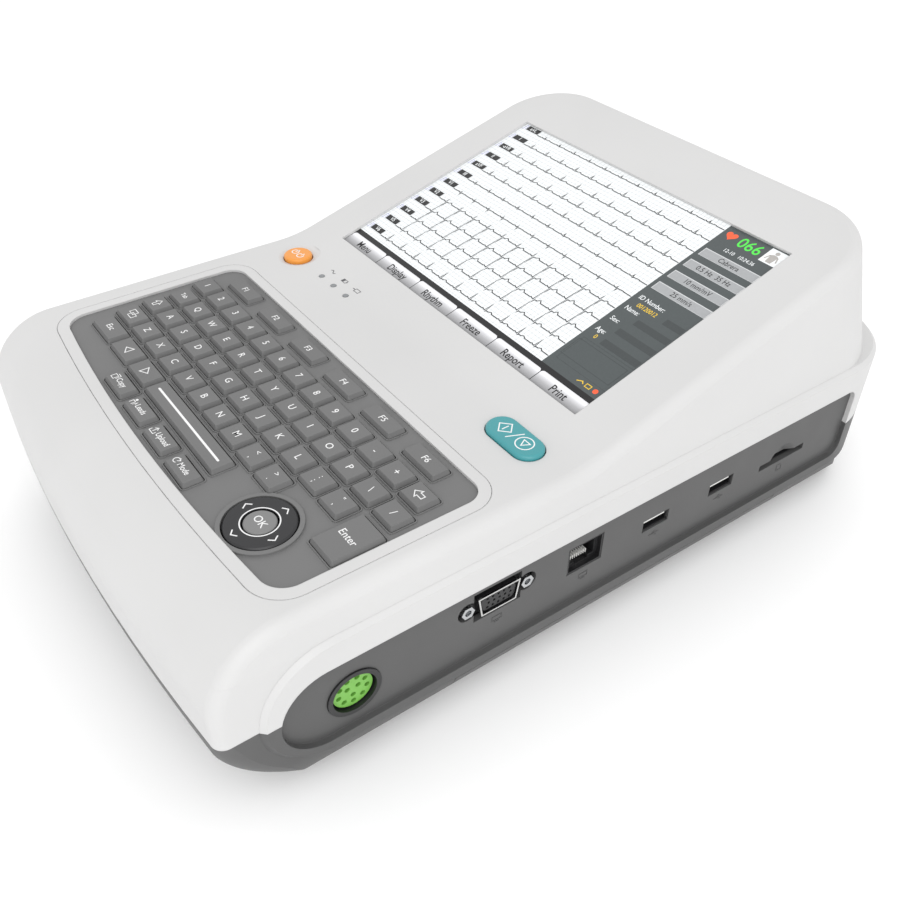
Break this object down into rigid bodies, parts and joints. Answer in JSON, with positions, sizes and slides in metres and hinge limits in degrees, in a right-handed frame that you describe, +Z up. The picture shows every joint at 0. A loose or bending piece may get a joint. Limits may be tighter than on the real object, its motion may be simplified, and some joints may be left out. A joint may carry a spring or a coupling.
{
  "type": "ecg machine",
  "caption": "Desktop ECG recorder with tilted colour screen, silicone keyboard, round navigation ring, side sockets and a side-loading chart printer.",
  "frame": {"origin": "under the middle of the object, on the surface its feet stand on", "axes": "+X to the user's right (socket side), +Y from the keyboard towards the back, +Z up"},
  "size_m": [0.2106, 0.325, 0.1266],
  "materials": {
    "black_plastic": "satin",
    "board_green": "solder mask",
    "case_grey": "satin, fine grain",
    "ceramic_head": "glazed",
    "contact_metal": "plated",
    "cover_glass": "polished",
    "display": "lit panel",
    "foot_rubber": "matte",
    "gear_white": "moulded",
    "housing": "satin, fine grain",
    "keys": "matte silicone with printed legends",
    "led_clear": "clear light pipe",
    "mat": "matte silicone",
    "nav_black": "satin",
    "ok_grey": "matte silicone",
    "pack_blue": "shrink film",
    "paper": "thermal paper",
    "power_orange": "semi-gloss",
    "roller_rubber": "ground",
    "sheet_steel": "plated",
    "socket_black": "satin",
    "socket_green": "satin",
    "start_teal": "semi-gloss",
    "steel": "plain"
  },
  "bodies": {
    "body": {"top_cover": "housing", "bottom_case": "case_grey", "battery_door": "case_grey", "case_screws": "steel", "rubber_feet": "foot_rubber", "keypad_frame": "housing", "keypad_mat": "mat", "keypad_board": "board_green", "status_leds": "led_clear", "touch_glass": "cover_glass", "lcd_module": "display", "lcd_bracket": "sheet_steel", "ecg_socket_shell": "socket_black", "ecg_socket_insert": "socket_green", "ecg_socket_contacts": "contact_metal", "vga_port": "sheet_steel", "vga_standoffs": "steel", "network_jack": "sheet_steel", "usb_ports": "sheet_steel", "card_slot": "black_plastic", "main_board": "board_green", "ecg_module": "sheet_steel", "power_supply": "sheet_steel", "battery_pack": "pack_blue", "speaker": "black_plastic", "mains_inlet": "black_plastic", "equipotential_stud": "contact_metal", "stepper_motor": "steel", "door_hinge_pins": "steel", "head_springs": "steel", "printer_frame": "sheet_steel", "tear_bar": "steel", "paper_tray": "black_plastic", "paper_pack": "paper"},
    "door": {"printer_door": "case_grey"},
    "latch": {"door_latch": "black_plastic"},
    "platen": {"platen_roller": "roller_rubber", "roller_gear": "gear_white"},
    "idler": {"idler_gear": "gear_white"},
    "rotor": {"motor_pinion": "contact_metal"},
    "head": {"print_head": "ceramic_head"},
    "power": {"power_button": "power_orange"},
    "start": {"start_button": "start_teal"},
    "nav_frame": {"nav_gimbal": "black_plastic"},
    "nav": {"nav_ring": "nav_black"},
    "ok": {"ok_button": "ok_grey"},
    "b_keys_function_row": {"keys_function_row": "keys"},
    "b_keys_number_row": {"keys_number_row": "keys"},
    "b_keys_upper_row": {"keys_upper_row": "keys"},
    "b_keys_home_row": {"keys_home_row": "keys"},
    "b_keys_lower_row": {"keys_lower_row": "keys"},
    "b_key_enter": {"key_enter": "keys"},
    "b_key_escape": {"key_escape": "keys"},
    "b_key_left": {"key_left": "keys"},
    "b_key_right": {"key_right": "keys"},
    "b_key_space": {"key_space": "keys"},
    "b_key_copy": {"key_copy": "keys"},
    "b_key_leads": {"key_leads": "keys"},
    "b_key_upload": {"key_upload": "keys"},
    "b_key_mode": {"key_mode": "keys"}
  },
  "joints": [
    {"name": "printer_door_hinge", "type": "hinge", "parent": "body", "child": "door", "pos_m": [-0.10175, 0.007, 0.0266], "axis": [0, -1, 0], "range_deg": [0, 92]},
    {"name": "door_latch_slide", "type": "slide", "parent": "door", "child": "latch", "axis": [0, 0, 1], "range_m": [0, 0.0018], "stiffness_N_per_m": 400},
    {"name": "platen_spin", "type": "hinge", "parent": "door", "child": "platen", "pos_m": [-0.0918, 0.007, 0.0485], "axis": [0, 1, 0], "continuous": true},
    {"name": "idler_spin", "type": "hinge", "parent": "body", "child": "idler", "pos_m": [-0.07639, 0.116, 0.04151], "axis": [0, 1, 0], "continuous": true},
    {"name": "motor_spin", "type": "hinge", "parent": "body", "child": "rotor", "pos_m": [-0.06312, 0.116, 0.04917], "axis": [0, 1, 0], "continuous": true},
    {"name": "print_head_slide", "type": "slide", "parent": "body", "child": "head", "axis": [1, 0, 0], "range_m": [0, 0.0012], "stiffness_N_per_m": 1500, "deforming": ["head_springs"]},
    {"name": "power_press", "type": "slide", "parent": "body", "child": "power", "axis": [0, 0, -1], "range_m": [0, 0.001], "stiffness_N_per_m": 600},
    {"name": "start_press", "type": "slide", "parent": "body", "child": "start", "axis": [0, 0, -1], "range_m": [0, 0.001], "stiffness_N_per_m": 600},
    {"name": "nav_tilt_front_back", "type": "hinge", "parent": "body", "child": "nav_frame", "pos_m": [0.0619, -0.1173, 0.0788], "axis": [1, 0, 0], "range_deg": [-2, 2], "stiffness_Nm_per_rad": 0.05},
    {"name": "nav_tilt_left_right", "type": "hinge", "parent": "nav_frame", "child": "nav", "pos_m": [0.0619, -0.1173, 0.0788], "axis": [0, 1, 0], "range_deg": [-2, 2], "stiffness_Nm_per_rad": 0.05},
    {"name": "ok_press", "type": "slide", "parent": "body", "child": "ok", "axis": [0, 0, -1], "range_m": [0, 0.0008], "stiffness_N_per_m": 500},
    {"name": "keys_function_row_press", "type": "slide", "parent": "body", "child": "b_keys_function_row", "axis": [0, 0, -1], "range_m": [0, 0.0012], "stiffness_N_per_m": 500},
    {"name": "keys_number_row_press", "type": "slide", "parent": "body", "child": "b_keys_number_row", "axis": [0, 0, -1], "range_m": [0, 0.0012], "stiffness_N_per_m": 500},
    {"name": "keys_upper_row_press", "type": "slide", "parent": "body", "child": "b_keys_upper_row", "axis": [0, 0, -1], "range_m": [0, 0.0012], "stiffness_N_per_m": 500},
    {"name": "keys_home_row_press", "type": "slide", "parent": "body", "child": "b_keys_home_row", "axis": [0, 0, -1], "range_m": [0, 0.0012], "stiffness_N_per_m": 500},
    {"name": "keys_lower_row_press", "type": "slide", "parent": "body", "child": "b_keys_lower_row", "axis": [0, 0, -1], "range_m": [0, 0.0012], "stiffness_N_per_m": 500},
    {"name": "key_enter_press", "type": "slide", "parent": "body", "child": "b_key_enter", "axis": [0, 0, -1], "range_m": [0, 0.0012], "stiffness_N_per_m": 500},
    {"name": "key_escape_press", "type": "slide", "parent": "body", "child": "b_key_escape", "axis": [0, 0, -1], "range_m": [0, 0.0012], "stiffness_N_per_m": 500},
    {"name": "key_left_press", "type": "slide", "parent": "body", "child": "b_key_left", "axis": [0, 0, -1], "range_m": [0, 0.0012], "stiffness_N_per_m": 500},
    {"name": "key_right_press", "type": "slide", "parent": "body", "child": "b_key_right", "axis": [0, 0, -1], "range_m": [0, 0.0012], "stiffness_N_per_m": 500},
    {"name": "key_space_press", "type": "slide", "parent": "body", "child": "b_key_space", "axis": [0, 0, -1], "range_m": [0, 0.0012], "stiffness_N_per_m": 500},
    {"name": "key_copy_press", "type": "slide", "parent": "body", "child": "b_key_copy", "axis": [0, 0, -1], "range_m": [0, 0.0012], "stiffness_N_per_m": 500},
    {"name": "key_leads_press", "type": "slide", "parent": "body", "child": "b_key_leads", "axis": [0, 0, -1], "range_m": [0, 0.0012], "stiffness_N_per_m": 500},
    {"name": "key_upload_press", "type": "slide", "parent": "body", "child": "b_key_upload", "axis": [0, 0, -1], "range_m": [0, 0.0012], "stiffness_N_per_m": 500},
    {"name": "key_mode_press", "type": "slide", "parent": "body", "child": "b_key_mode", "axis": [0, 0, -1], "range_m": [0, 0.0012], "stiffness_N_per_m": 500}
  ],
  "couplings": [
    {"joint": "idler_spin", "follows": "platen_spin", "ratio": -0.61538},
    {"joint": "motor_spin", "follows": "platen_spin", "ratio": 1.3333}
  ]
}
